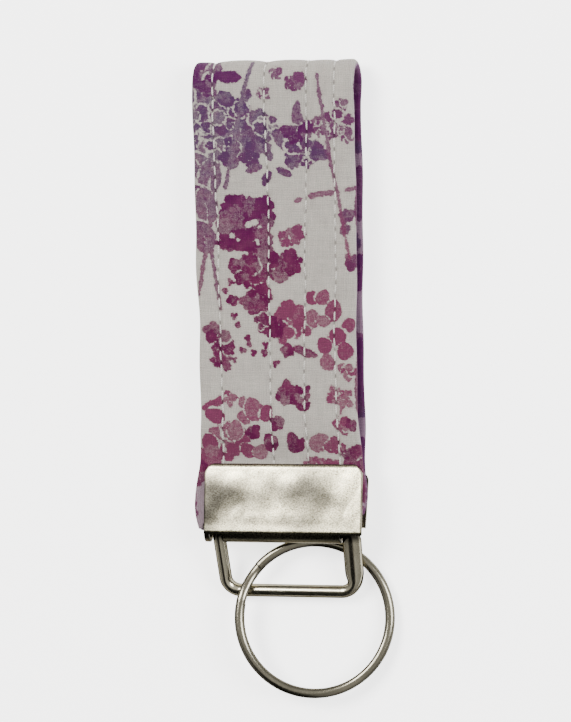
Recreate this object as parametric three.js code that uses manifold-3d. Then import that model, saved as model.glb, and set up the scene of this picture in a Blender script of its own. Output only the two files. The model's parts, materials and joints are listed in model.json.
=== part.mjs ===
// A short wristlet key fob lying on its back: a quilted strap folded into a loop, a crimped fob clamp,
// a wire loop hinged in the clamp's fold, and a two-turn split ring.
// Millimetres, +Z up. The fold of the strap is at +Y and the ring at -Y. X runs across the strap.
// The origin is under the middle of the whole object.

import * as THREE from 'three';
import { mergeVertices } from 'three/addons/utils/BufferGeometryUtils.js';
import Module from 'manifold-3d';

const wasm = await Module();
wasm.setup();

const deg = Math.PI / 180;

// ---------- driving dimensions ----------

// Clamp: one folded sheet. Its local frame starts on the axis of the fold, with s towards the mouth.
const clampWidth = 31.75;
const clampAxisLength = 13.0;
const clampSlope = 11.1 * deg;
const jawSpread = 5.9 * deg;
const sheet = 0.8;
const foldInnerRadius = 1.5;
const foldOuterRadius = foldInnerRadius + sheet;
const foldHeight = 7.2;
const lipHalfGap = 2.0;
const lipDepth = 1.0;
const toothCount = 12;
const toothDepth = 0.45;
const lipChamfer = 0.15;
const lipRise = 0.2;
const rimRadius = 0.5;
const mouthCornerRadius = 2.0;
const legSlotFrom = -114 * deg;
const legSlotTo = 52 * deg;
const legSlotReach = 4.5;
const legSlotApex = 0.3;
const toothShare = 0.4;
const leftSlot = [-15.1, -11.9];
const rightSlot = [11.2, 17.0];

// Strap: one padded band whose side profile is a flattened loop.
const strapWidth = 31.8;
const strapOffset = -0.8;
const strapLean = -0.0137;
const strapLength = 79.9;
const strapHeight = 8.4;
const bandHalf = 0.9;
const pinchedHalf = 0.75;
const layerHalfGap = 0.2;
const endDepth = 3.6;
const rampLength = 10;
const rampEase = 5;
const mouthEase = [4, 3];
const foldReach = 4.2;
const foldRoundness = 0.56;
const casingWall = 0.45;
const sideWall = 1.1;
const fleeceGap = 0.12;

// Topstitching: four rows, as distances from the middle of the strap.
const stitchRows = [-11.9, -1.7, 5.9, 11.8];
const threadWidth = 0.4;
const threadHeight = 0.22;
const threadRecess = 0.05;
const grooveWidth = 0.76;
const grooveDepth = 0.36;

// Wire loop: a rounded rectangle of wire, open inside the clamp's fold.
const wireRadius = 1.28;
const loopBarY = -24.85;
const loopBarZ = 2.5;
const leftLegTop = -13.45;
const leftLegFoot = -12.7;
const rightLeg = 13.45;
const rightLegWidening = 0.48;
const cornerReach = 3.3;
const topCornerReach = 1.6;
const footCornerShift = 0.3;
const wireEndGap = 3.0;
const wideningFrom = [0.8, 3];
const wideningTo = [4.5, 1];

// Split ring: one flat-sided wire wound two turns, lying over the bar and under the right leg.
const ringDiameter = 31.75;
const coilWidth = 1.85;
const coilHeight = 1.2;
const coilChamfer = 0.32;
const coilPitch = 1.28;
const ringCentre = new THREE.Vector2(5.3, -30.0);
const ringCentreHeight = 3.62;
const ringHighSide = 205 * deg;
const ringRise = 2.3;
const crossoverAngle = 154 * deg;
const crossoverHalf = 14 * deg;
const coilEndGap = 1.5 * deg;

// How far a cutting solid runs past the surface it cuts.
const overrun = 1;
const grooveOverrun = 0.15;

// ---------- solids ----------

function toManifold(geometry) {
  const plain = new THREE.BufferGeometry();
  plain.setAttribute('position', geometry.getAttribute('position').clone());
  if (geometry.index) plain.setIndex(geometry.index.clone());
  const merged = mergeVertices(plain, 1e-4);
  return new wasm.Manifold(new wasm.Mesh({
    numProp: 3,
    vertProperties: new Float32Array(merged.getAttribute('position').array),
    triVerts: new Uint32Array(merged.index.array),
  }));
}

function toGeometry(manifold) {
  const mesh = manifold.getMesh();
  const geometry = new THREE.BufferGeometry();
  geometry.setAttribute('position', new THREE.BufferAttribute(new Float32Array(mesh.vertProperties), 3));
  geometry.setIndex(new THREE.BufferAttribute(new Uint32Array(mesh.triVerts), 1));
  return geometry;
}

// Extrudes an outline drawn in (Y, Z) across X, from x0 to x1.
function extrudeAcross(outline, x0, x1) {
  const settings = { depth: x1 - x0, bevelEnabled: false };
  const geometry = new THREE.ExtrudeGeometry(new THREE.Shape(outline), settings);
  const yAxis = new THREE.Vector3(0, 1, 0);
  const zAxis = new THREE.Vector3(0, 0, 1);
  const xAxis = new THREE.Vector3(1, 0, 0);
  geometry.applyMatrix4(new THREE.Matrix4().makeBasis(yAxis, zAxis, xAxis));
  geometry.translate(x0, 0, 0);
  return geometry;
}

// ---------- clamp frame ----------

const clampAlong = new THREE.Vector2(Math.cos(clampSlope), -Math.sin(clampSlope));
const clampUp = new THREE.Vector2(Math.sin(clampSlope), Math.cos(clampSlope));
const foldAxis = new THREE.Vector2(-clampAxisLength * Math.cos(clampSlope), foldHeight);

// A point in the clamp's local frame (s along, n up) as (Y, Z).
function inClamp(s, n) {
  return foldAxis.clone().addScaledVector(clampAlong, s).addScaledVector(clampUp, n);
}

// Height of a jaw line, tangent to the fold's circle of this radius, at distance s.
function jawHeight(radius, s) {
  return radius / Math.cos(jawSpread) + s * Math.tan(jawSpread);
}

// ---------- strap ----------

// The band's centre line runs from its back end in the clamp, round the loop, to its front end in the clamp.
function bandPath() {
  const middle = pinchedHalf + layerHalfGap;
  const backEnd = inClamp(endDepth, -middle);
  const backMouth = inClamp(clampAxisLength, -middle);
  const frontMouth = inClamp(clampAxisLength, middle);
  const frontEnd = inClamp(endDepth, middle);
  const low = bandHalf;
  const high = strapHeight - bandHalf;
  const half = (high - low) / 2;
  const foldStart = strapLength - bandHalf - foldReach;
  const foldEnd = strapLength - bandHalf;
  const foldHandle = foldStart + foldReach * foldRoundness;
  const tipHandle = half * (1 - foldRoundness);
  const point = (y, z) => new THREE.Vector2(y, z);
  const ahead = (from, length) => from.clone().addScaledVector(clampAlong, length);
  const backFlat = point(rampLength, low);
  const frontFlat = point(rampLength, high);
  const backHandle = point(rampLength - rampEase, low);
  const frontHandle = point(rampLength - rampEase, high);
  const tip = point(foldEnd, low + half);
  const bend = (...points) => new THREE.CubicBezierCurve(...points);
  const rampSteps = 9;
  const foldSteps = 7;

  const pieces = [
    [new THREE.LineCurve(backEnd, backMouth), 1],
    [bend(backMouth, ahead(backMouth, mouthEase[0]), backHandle, backFlat), rampSteps],
    [new THREE.LineCurve(backFlat, point(foldStart, low)), 1],
    [bend(point(foldStart, low), point(foldHandle, low), point(foldEnd, low + tipHandle), tip), foldSteps],
    [bend(tip, point(foldEnd, high - tipHandle), point(foldHandle, high), point(foldStart, high)), foldSteps],
    [new THREE.LineCurve(point(foldStart, high), frontFlat), 1],
    [bend(frontFlat, frontHandle, ahead(frontMouth, mouthEase[1]), frontMouth), rampSteps],
    [new THREE.LineCurve(frontMouth, frontEnd), 1],
  ];

  const samples = [];
  pieces.forEach(([curve, steps], index) => {
    for (let i = index === 0 ? 0 : 1; i <= steps; i += 1) {
      const t = i / steps;
      const tangent = curve.getTangent(t);
      let pinch = 0;
      if (index === 0 || index === pieces.length - 1) pinch = 1;
      if (index === 1) pinch = 1 - t;
      if (index === pieces.length - 2) pinch = t;
      samples.push({
        point: curve.getPoint(t),
        normal: new THREE.Vector2(tangent.y, -tangent.x),
        tangent,
        half: THREE.MathUtils.lerp(bandHalf, pinchedHalf, pinch),
      });
    }
  });
  return samples;
}

const band = bandPath();

// Closed outline between two heights over the band's centre line, drawn out past its ends by `extra`.
// Heights are functions of the local half thickness; the outer face is on the positive side.
function bandOutline(lower, upper, extra = 0) {
  const rows = band.map((sample) => ({ ...sample, point: sample.point.clone() }));
  rows[0].point.addScaledVector(rows[0].tangent, -extra);
  rows[rows.length - 1].point.addScaledVector(rows[rows.length - 1].tangent, extra);
  const offset = (row, height) => row.point.clone().addScaledVector(row.normal, height(row.half));
  const upperSide = rows.map((row) => offset(row, upper));
  const lowerSide = rows.map((row) => offset(row, lower)).reverse();
  return [...upperSide, ...lowerSide];
}

// The strap leans a little to one side of the clamp's middle line.
function lean(geometry) {
  const position = geometry.getAttribute('position');
  for (let i = 0; i < position.count; i += 1) {
    const y = Math.max(position.getY(i), 0);
    position.setX(i, position.getX(i) + strapOffset + strapLean * y);
  }
  return geometry;
}

function grooveOutline(side) {
  const deep = (half) => side * (half - grooveDepth);
  const above = (half) => side * (half + grooveOverrun);
  return side > 0 ? bandOutline(deep, above, overrun) : bandOutline(above, deep, overrun);
}

function threadOutline(side) {
  const low = (half) => side * (half - threadRecess - threadHeight);
  const high = (half) => side * (half - threadRecess);
  return side > 0 ? bandOutline(low, high) : bandOutline(high, low);
}

function casing() {
  const edge = strapWidth / 2;
  let body = toManifold(extrudeAcross(bandOutline((half) => -half, (half) => half), -edge, edge));
  const hollow = bandOutline((half) => casingWall - half, (half) => half - casingWall, overrun);
  body = body.subtract(toManifold(extrudeAcross(hollow, -edge + sideWall, edge - sideWall)));
  for (const side of [1, -1]) {
    for (const row of stitchRows) {
      const groove = extrudeAcross(grooveOutline(side), row - grooveWidth / 2, row + grooveWidth / 2);
      body = body.subtract(toManifold(groove));
    }
  }
  return lean(toGeometry(body));
}

function fleece() {
  const edge = strapWidth / 2 - sideWall - fleeceGap;
  const reach = casingWall + fleeceGap;
  const outline = bandOutline((half) => reach - half, (half) => half - reach);
  return lean(extrudeAcross(outline, -edge, edge));
}

function thread(side, row) {
  return lean(extrudeAcross(threadOutline(side), row - threadWidth / 2, row + threadWidth / 2));
}

// ---------- clamp ----------

function clampOutline() {
  const arcSteps = 18;
  const from = 90 * deg + jawSpread;
  const to = 270 * deg - jawSpread;
  const outerMouth = jawHeight(foldOuterRadius, clampAxisLength);
  const lipFoot = clampAxisLength - lipDepth - 2 * lipRise;
  const innerAtLip = jawHeight(foldInnerRadius, lipFoot);
  const points = [];
  const add = (s, n) => points.push(inClamp(s, n));
  const arc = (radius, start, end) => {
    for (let i = 0; i <= arcSteps; i += 1) {
      const angle = THREE.MathUtils.lerp(start, end, i / arcSteps);
      add(radius * Math.cos(angle), radius * Math.sin(angle));
    }
  };
  const lip = (side) => [
    [lipFoot, side * innerAtLip],
    [clampAxisLength - lipDepth, side * lipHalfGap],
    [clampAxisLength - lipChamfer, side * lipHalfGap],
    [clampAxisLength, side * (lipHalfGap + lipRise)],
    [clampAxisLength, side * (outerMouth - rimRadius)],
    [clampAxisLength - lipChamfer, side * (outerMouth - lipChamfer)],
    [clampAxisLength - rimRadius, side * jawHeight(foldOuterRadius, clampAxisLength - rimRadius)],
  ];
  lip(1).forEach(([s, n]) => add(s, n));
  arc(foldOuterRadius, from, to);
  lip(-1).reverse().forEach(([s, n]) => add(s, n));
  arc(foldInnerRadius, to, from);
  return points;
}

// A solid in the clamp's frame: an outline in (X, s) carried from n0 to n1.
function clampPrism(outline, n0, n1) {
  const settings = { depth: n1 - n0, bevelEnabled: false };
  const geometry = new THREE.ExtrudeGeometry(new THREE.Shape(outline), settings);
  geometry.translate(0, 0, n0);
  const across = new THREE.Vector3(1, 0, 0);
  const along = new THREE.Vector3(0, clampAlong.x, clampAlong.y);
  const up = new THREE.Vector3(0, clampUp.x, clampUp.y);
  const place = new THREE.Matrix4().makeBasis(across, along, up);
  place.setPosition(0, foldAxis.x, foldAxis.y);
  geometry.applyMatrix4(place);
  return toManifold(geometry);
}

// Plan of the clamp with its mouth corners rounded.
function clampPlan() {
  const trueEdge = clampWidth / 2;
  const edge = trueEdge + overrun;
  const mouth = clampAxisLength;
  const corner = mouth - mouthCornerRadius;
  const centre = trueEdge - mouthCornerRadius;
  const pastFold = -2 * foldOuterRadius;
  const plan = new THREE.Path();
  plan.moveTo(-edge, pastFold);
  plan.lineTo(edge, pastFold);
  plan.lineTo(edge, corner);
  plan.lineTo(trueEdge, corner);
  plan.absarc(centre, corner, mouthCornerRadius, 0, Math.PI / 2, false);
  plan.lineTo(centre, mouth + overrun);
  plan.lineTo(-centre, mouth + overrun);
  plan.absarc(-centre, corner, mouthCornerRadius, Math.PI / 2, Math.PI, false);
  plan.lineTo(-edge, corner);
  return plan.getPoints(6);
}

// Wedge-shaped cut that lets a leg of the wire loop out of the fold and swing.
function legSlot([x0, x1]) {
  const reach = legSlotReach;
  const steps = 6;
  const outline = [inClamp(legSlotApex, 0)];
  for (let i = 0; i <= steps; i += 1) {
    const angle = Math.PI - THREE.MathUtils.lerp(legSlotFrom, legSlotTo, i / steps);
    outline.push(inClamp(reach * Math.cos(angle), reach * Math.sin(angle)));
  }
  return toManifold(extrudeAcross(outline, x0, x1));
}

// Notches between the teeth of both lips.
function toothGaps() {
  const pitch = clampWidth / toothCount;
  const gaps = [];
  for (let i = 0; i < toothCount; i += 1) {
    const x = (i + 0.5) * pitch - clampWidth / 2;
    const half = pitch * (1 - toothShare) / 2;
    const near = clampAxisLength - lipDepth - lipRise / 2;
    const far = clampAxisLength + overrun;
    const gap = [
      new THREE.Vector2(x - half, near),
      new THREE.Vector2(x + half, near),
      new THREE.Vector2(x + half, far),
      new THREE.Vector2(x - half, far),
    ];
    const depth = lipHalfGap + toothDepth;
    gaps.push(clampPrism(gap, -depth, depth));
  }
  return gaps;
}

function clamp() {
  const edge = clampWidth / 2;
  let body = toManifold(extrudeAcross(clampOutline(), -edge, edge));
  body = body.intersect(clampPrism(clampPlan(), -clampAxisLength, clampAxisLength));
  body = body.subtract(legSlot(leftSlot)).subtract(legSlot(rightSlot));
  for (const gap of toothGaps()) body = body.subtract(gap);
  return toGeometry(body);
}

// ---------- wire loop ----------

// A point in the loop's plane: x across, t from the fold's axis towards the bar.
const loopReach = new THREE.Vector2(loopBarY - foldAxis.x, loopBarZ - foldAxis.y);
const loopLength = loopReach.length();
function inLoop(x, t) {
  return new THREE.Vector3(
    x,
    foldAxis.x + loopReach.x * t / loopLength,
    foldAxis.y + loopReach.y * t / loopLength,
  );
}

function wireLoop() {
  const leftFoot = THREE.MathUtils.lerp(leftLegTop, leftLegFoot, 1 - cornerReach / loopLength);
  const leftTop = THREE.MathUtils.lerp(leftLegTop, leftLegFoot, topCornerReach / loopLength);
  const path = new THREE.CurvePath();
  path.add(new THREE.LineCurve3(inLoop(-wireEndGap, 0), inLoop(leftLegTop + topCornerReach, 0)));
  path.add(new THREE.QuadraticBezierCurve3(
    inLoop(leftLegTop + topCornerReach, 0), inLoop(leftLegTop, 0), inLoop(leftTop, topCornerReach)));
  path.add(new THREE.LineCurve3(inLoop(leftTop, topCornerReach), inLoop(leftFoot, loopLength - cornerReach)));
  path.add(new THREE.QuadraticBezierCurve3(
    inLoop(leftFoot, loopLength - cornerReach), inLoop(leftLegFoot + footCornerShift, loopLength),
    inLoop(leftLegFoot + cornerReach, loopLength)));
  path.add(new THREE.LineCurve3(
    inLoop(leftLegFoot + cornerReach, loopLength), inLoop(rightLeg - cornerReach, loopLength)));
  path.add(new THREE.QuadraticBezierCurve3(
    inLoop(rightLeg - cornerReach, loopLength), inLoop(rightLeg, loopLength),
    inLoop(rightLeg, loopLength - cornerReach)));
  path.add(new THREE.LineCurve3(
    inLoop(rightLeg, loopLength - cornerReach), inLoop(rightLeg, topCornerReach)));
  path.add(new THREE.QuadraticBezierCurve3(
    inLoop(rightLeg, topCornerReach), inLoop(rightLeg, 0), inLoop(rightLeg - topCornerReach, 0)));
  path.add(new THREE.LineCurve3(inLoop(rightLeg - topCornerReach, 0), inLoop(wireEndGap, 0)));

  const section = new THREE.Shape();
  section.absarc(0, 0, wireRadius, 0, 2 * Math.PI, false);
  const geometry = new THREE.ExtrudeGeometry(section, { steps: 80, extrudePath: path, curveSegments: 6 });
  widenRightLeg(geometry);
  return geometry;
}

// The right leg is flattened: wider across the loop than the rest of the wire.
function widenRightLeg(geometry) {
  const position = geometry.getAttribute('position');
  for (let i = 0; i < position.count; i += 1) {
    const x = position.getX(i);
    const t = -(position.getY(i) - foldAxis.x) * loopLength / -loopReach.x;
    const fadeIn = THREE.MathUtils.smoothstep(t, wideningFrom[0], wideningFrom[1]);
    const fadeOut = 1 - THREE.MathUtils.smoothstep(t, loopLength - wideningTo[0], loopLength - wideningTo[1]);
    const factor = 1 + rightLegWidening * fadeIn * fadeOut;
    if (x > rightLeg - 3 * wireRadius) position.setX(i, rightLeg + (x - rightLeg) * factor);
  }
}

// ---------- split ring ----------

// The wire climbs from the lower turn to the upper turn inside the crossover.
class RingWire extends THREE.Curve {
  getPoint(t, target = new THREE.Vector3()) {
    const reach = 2 * Math.PI - crossoverHalf - coilEndGap;
    const angle = THREE.MathUtils.lerp(-reach, reach, t);
    const climb = THREE.MathUtils.smoothstep(angle, -crossoverHalf, crossoverHalf) - 0.5;
    const radius = (ringDiameter - coilWidth) / 2;
    const around = crossoverAngle + angle;
    return target.set(radius * Math.cos(around), radius * Math.sin(around), coilPitch * climb);
  }
}

function splitRing() {
  const a = coilHeight / 2;
  const b = coilWidth / 2;
  const chamfer = coilChamfer;
  const section = new THREE.Shape([
    new THREE.Vector2(-a, -b + chamfer),
    new THREE.Vector2(-a + chamfer, -b),
    new THREE.Vector2(a - chamfer, -b),
    new THREE.Vector2(a, -b + chamfer),
    new THREE.Vector2(a, b - chamfer),
    new THREE.Vector2(a - chamfer, b),
    new THREE.Vector2(-a + chamfer, b),
    new THREE.Vector2(-a, b - chamfer),
  ]);
  const geometry = new THREE.ExtrudeGeometry(section, { steps: 120, extrudePath: new RingWire() });
  const slope = ringRise * 2 / (ringDiameter - coilWidth);
  const high = new THREE.Vector3(Math.cos(ringHighSide), Math.sin(ringHighSide), 0);
  const normal = new THREE.Vector3(0, 0, 1).addScaledVector(high, -slope).normalize();
  const tilt = new THREE.Quaternion().setFromUnitVectors(new THREE.Vector3(0, 0, 1), normal);
  geometry.applyQuaternion(tilt);
  geometry.translate(ringCentre.x, ringCentre.y, ringCentreHeight);
  return geometry;
}

// ---------- assembly ----------

const finishes = {
  print: { color: 0x8d7488, roughness: 0.92, metalness: 0 },
  fleece: { color: 0xe9e5dc, roughness: 1, metalness: 0 },
  thread: { color: 0xd9d6cf, roughness: 0.7, metalness: 0 },
  satinNickel: { color: 0xaaa59c, roughness: 0.38, metalness: 1 },
  polishedNickel: { color: 0xb3afa6, roughness: 0.16, metalness: 1 },
};

const fob = new THREE.Group();

function addPiece(name, geometry, finish) {
  const mesh = new THREE.Mesh(geometry, new THREE.MeshStandardMaterial(finishes[finish]));
  mesh.name = name;
  fob.add(mesh);
}

addPiece('outer_fabric', casing(), 'print');
addPiece('fleece_core', fleece(), 'fleece');
stitchRows.forEach((row, index) => {
  addPiece(`needle_thread_${index + 1}`, thread(1, row), 'thread');
  addPiece(`bobbin_thread_${index + 1}`, thread(-1, row), 'thread');
});
addPiece('crimp_clamp', clamp(), 'satinNickel');
addPiece('wire_loop', wireLoop(), 'polishedNickel');
addPiece('split_ring', splitRing(), 'polishedNickel');

// The origin goes under the middle of the object, on the surface that it lies on.
const bounds = new THREE.Box3().setFromObject(fob);
const middle = bounds.getCenter(new THREE.Vector3());
fob.position.set(-middle.x, -middle.y, -bounds.min.z);

const group = new THREE.Group();
group.add(fob);
group.name = 'wristlet_keychain';

export default group;
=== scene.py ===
"""A short wristlet key fob on a pale table: quilted printed strap, crimped clamp, wire loop and split ring."""

import json
import math

import bmesh
import bpy
import numpy as np
from mathutils import Matrix, Vector


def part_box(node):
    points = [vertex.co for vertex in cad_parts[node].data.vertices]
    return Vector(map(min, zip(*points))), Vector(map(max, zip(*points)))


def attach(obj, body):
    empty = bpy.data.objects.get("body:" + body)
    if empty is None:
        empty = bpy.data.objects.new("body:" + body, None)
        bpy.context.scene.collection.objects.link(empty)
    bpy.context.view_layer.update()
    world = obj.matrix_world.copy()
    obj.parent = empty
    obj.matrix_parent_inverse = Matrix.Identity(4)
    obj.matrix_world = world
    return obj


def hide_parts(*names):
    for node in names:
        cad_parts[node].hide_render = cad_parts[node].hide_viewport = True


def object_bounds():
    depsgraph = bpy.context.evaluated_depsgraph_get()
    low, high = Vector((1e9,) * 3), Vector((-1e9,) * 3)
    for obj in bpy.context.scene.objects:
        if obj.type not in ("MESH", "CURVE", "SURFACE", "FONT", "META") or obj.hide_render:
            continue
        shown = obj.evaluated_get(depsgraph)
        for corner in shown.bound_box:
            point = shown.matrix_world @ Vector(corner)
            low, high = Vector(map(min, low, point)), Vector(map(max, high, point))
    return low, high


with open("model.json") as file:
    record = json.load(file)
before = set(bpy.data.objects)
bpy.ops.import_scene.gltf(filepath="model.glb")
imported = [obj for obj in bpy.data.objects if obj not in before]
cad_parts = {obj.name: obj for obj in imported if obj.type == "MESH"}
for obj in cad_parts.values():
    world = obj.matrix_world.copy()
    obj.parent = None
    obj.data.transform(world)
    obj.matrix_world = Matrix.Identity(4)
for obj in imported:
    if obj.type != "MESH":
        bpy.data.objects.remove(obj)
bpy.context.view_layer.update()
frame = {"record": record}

# ---------------------------------------------------------------- places and driving sizes, in millimetres

MM = 0.001
joints = {joint["name"]: joint for joint in frame["record"]["behaviour"]["joints"]}
fold_axis = [value / MM for value in joints["loop_hinge"]["pos_m"]]
bar_axis = [value / MM for value in joints["ring_swing"]["pos_m"]]
clamp_low, clamp_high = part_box("crimp_clamp")

CLAMP_X = (clamp_low[0] + clamp_high[0]) / 2 / MM
CLAMP_WIDTH = (clamp_high[0] - clamp_low[0]) / MM
CLAMP_LENGTH = 13.0
CLAMP_SLOPE = math.radians(11.1)
JAW_SPREAD = math.radians(5.9)
SHEET = 0.8
FOLD_RADIUS = 1.9
LIP_HALF_GAP = 2.05
CORNER_RADIUS = 2.0
LEFT_SLOT = (-14.95, -12.0)
RIGHT_SLOT = (11.42, 15.875)
SLOT_ANGLES = (-114, 64)
SLOT_END = 1.15
# Soft dents in the clamp's front plate, which also set where dark reflections are painted: across, from the fold, half
# width, half length, depth.
DENTS = ((-15.6, 7.0, 3.6, 2.8, 2.4), (-15.6, 3.4, 2.2, 4.0, 1.1), (-10.4, 7.4, 4.4, 2.4, 0.5),
         (-3.6, 7.4, 6.0, 2.4, 0.5), (5.4, 6.6, 3.8, 2.8, 1.3), (-2.0, 1.6, 11.0, 1.2, 0.3), (10.5, 6.0, 3.0, 4.0, 0.15))
MOUTH_Y = fold_axis[1] + CLAMP_LENGTH * math.cos(CLAMP_SLOPE)

STRAP_WIDTH = 31.8
STRAP_OFFSET = -0.8
STRAP_LEAN = -0.0137
STRAP_LENGTH = 80.4
STRAP_HEIGHT = 8.4
BAND_HALF = 0.9
PINCHED_HALF = 0.75
LAYER_HALF_GAP = 0.2
END_DEPTH = 3.6
RAMP_LENGTH = 10.0
FOLD_REACH = 4.2
EDGE_FULLNESS = 1.6
FLARE = 0.85
TABLE_SOFTNESS = 0.12
SPILL = 3.4
CLOTH = 0.4

STITCH_PITCH = 2.62
THREAD_RADIUS = 0.155
HOLE_SQUASH = 0.42
STITCH_INSET = 0.34
STITCH_DIP = 0.34

WIRE_RADIUS = 1.28
LEFT_LEG_TOP = -13.45
LEFT_LEG_FOOT = -12.7
RIGHT_LEG = 13.45
RIGHT_LEG_WIDENING = 0.48
WIRE_END_GAP = 3.0

RING_DIAMETER = 31.75
COIL_WIDTH = 1.85
COIL_HEIGHT = 1.2
COIL_PITCH = 1.28
RING_X = 5.3
RING_Y = -30.0
RING_Z = 3.62
RING_HIGH_SIDE = math.radians(205)
RING_RISE = 2.3
CROSSOVER_ANGLE = math.radians(154)
CROSSOVER_HALF = math.radians(14)
COIL_END_GAP = math.radians(1.5)
COIL_CHAMFER = 0.1
RING_DULLNESS = 0.66
# Colour factor of the painted shade on the wire inside the clamp's fold.
WIRE_FOLD_SHADE = 0.05

# ---------------------------------------------------------------- camera

IMAGE_WIDTH, IMAGE_HEIGHT = 571, 722
CAMERA_DISTANCE = 0.60
CAMERA_SIDE = math.radians(13)
CAMERA_FOOT = math.radians(0)
CAMERA_TARGET = Vector((-0.0022, 0.0038, 0.004))
VIEW_HEIGHT = 0.1432


def make_camera():
    data = bpy.data.cameras.new("camera")
    camera = bpy.data.objects.new("camera", data)
    bpy.context.scene.collection.objects.link(camera)
    toward = Vector((math.tan(CAMERA_SIDE), -math.tan(CAMERA_FOOT), 1)).normalized()
    across = Vector((0, 1, 0)).cross(toward).normalized()
    upward = toward.cross(across)
    turn = Matrix((across, upward, toward)).transposed()
    camera.matrix_world = Matrix.LocRotScale(CAMERA_TARGET + toward * CAMERA_DISTANCE, turn, None)
    data.sensor_fit = "VERTICAL"
    data.sensor_height = 24
    data.lens = data.sensor_height * CAMERA_DISTANCE / VIEW_HEIGHT
    data.clip_start = 0.01
    data.clip_end = 20
    bpy.context.scene.camera = camera


make_camera()

# ---------------------------------------------------------------- mesh helpers


def place(points):
    """Points in the fob's own frame (X from the clamp's middle, Y from its mouth) as metres in the row frame."""
    return (np.asarray(points, float) + np.array([CLAMP_X, MOUTH_Y, 0.0])) * MM


def make_object(name, points, faces, smooth=True):
    mesh = bpy.data.meshes.new(name)
    mesh.from_pydata(place(points).tolist(), [], faces)
    mesh.validate()
    shape = bmesh.new()
    shape.from_mesh(mesh)
    bmesh.ops.recalc_face_normals(shape, faces=shape.faces)
    shape.to_mesh(mesh)
    shape.free()
    if smooth:
        mesh.polygons.foreach_set("use_smooth", [True] * len(mesh.polygons))
    mesh.update()
    piece = bpy.data.objects.new(name, mesh)
    bpy.context.scene.collection.objects.link(piece)
    return piece


def add_attribute(piece, name, values):
    attribute = piece.data.attributes.new(name, "FLOAT", "POINT")
    attribute.data.foreach_set("value", np.asarray(values, np.float32))


def grid_faces(rows, columns, wrap_columns=False):
    """Quads over a rows x columns grid of points, numbered row by row."""
    r = np.arange(rows - 1)[:, None]
    c = np.arange(columns if wrap_columns else columns - 1)[None, :]
    after = (c + 1) % columns
    quads = np.stack([r * columns + c, r * columns + after, (r + 1) * columns + after, (r + 1) * columns + c], -1)
    return quads.reshape(-1, 4).tolist()


def bake_modifiers(piece):
    """Applies every modifier, so that the mesh is final."""
    graph = bpy.context.evaluated_depsgraph_get()
    final = bpy.data.meshes.new_from_object(piece.evaluated_get(graph), preserve_all_data_layers=True, depsgraph=graph)
    piece.modifiers.clear()
    piece.data = final


def smoothstep(low, high, value):
    t = np.clip((np.asarray(value, float) - low) / (high - low), 0, 1)
    return t * t * (3 - 2 * t)


def ripple(across, along, across_wave, along_wave, seed, count=14):
    """Smooth random relief between about -1 and 1, with the given wavelengths."""
    random = np.random.default_rng(seed)
    total = np.zeros_like(np.asarray(across, float) + np.asarray(along, float))
    for _ in range(count):
        turn = random.uniform(0, 2 * math.pi)
        stretch = random.uniform(0.6, 1.4)
        phase = random.uniform(0, 2 * math.pi)
        total += np.sin(2 * math.pi * stretch * (math.cos(turn) * across / across_wave
                                                 + math.sin(turn) * along / along_wave) + phase)
    return total / math.sqrt(count) * 0.9


def sweep(centres, side, up, half_widths, half_heights, power=2.0, sides=32):
    """A tube along centres, with a superellipse section in the (side, up) plane of each centre."""
    angle = np.linspace(0, 2 * math.pi, sides, endpoint=False)
    cos, sin = np.cos(angle), np.sin(angle)
    section_x = np.sign(cos) * np.abs(cos) ** (2 / power)
    section_y = np.sign(sin) * np.abs(sin) ** (2 / power)
    points = (centres[:, None, :]
              + side[:, None, :] * (half_widths[:, None] * section_x)[..., None]
              + up[:, None, :] * (half_heights[:, None] * section_y)[..., None])
    rows = len(centres)
    faces = grid_faces(rows, sides, wrap_columns=True)
    faces.append(list(range(sides))[::-1])
    faces.append([(rows - 1) * sides + i for i in range(sides)])
    return points.reshape(-1, 3), faces


# ---------------------------------------------------------------- node helpers


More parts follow.
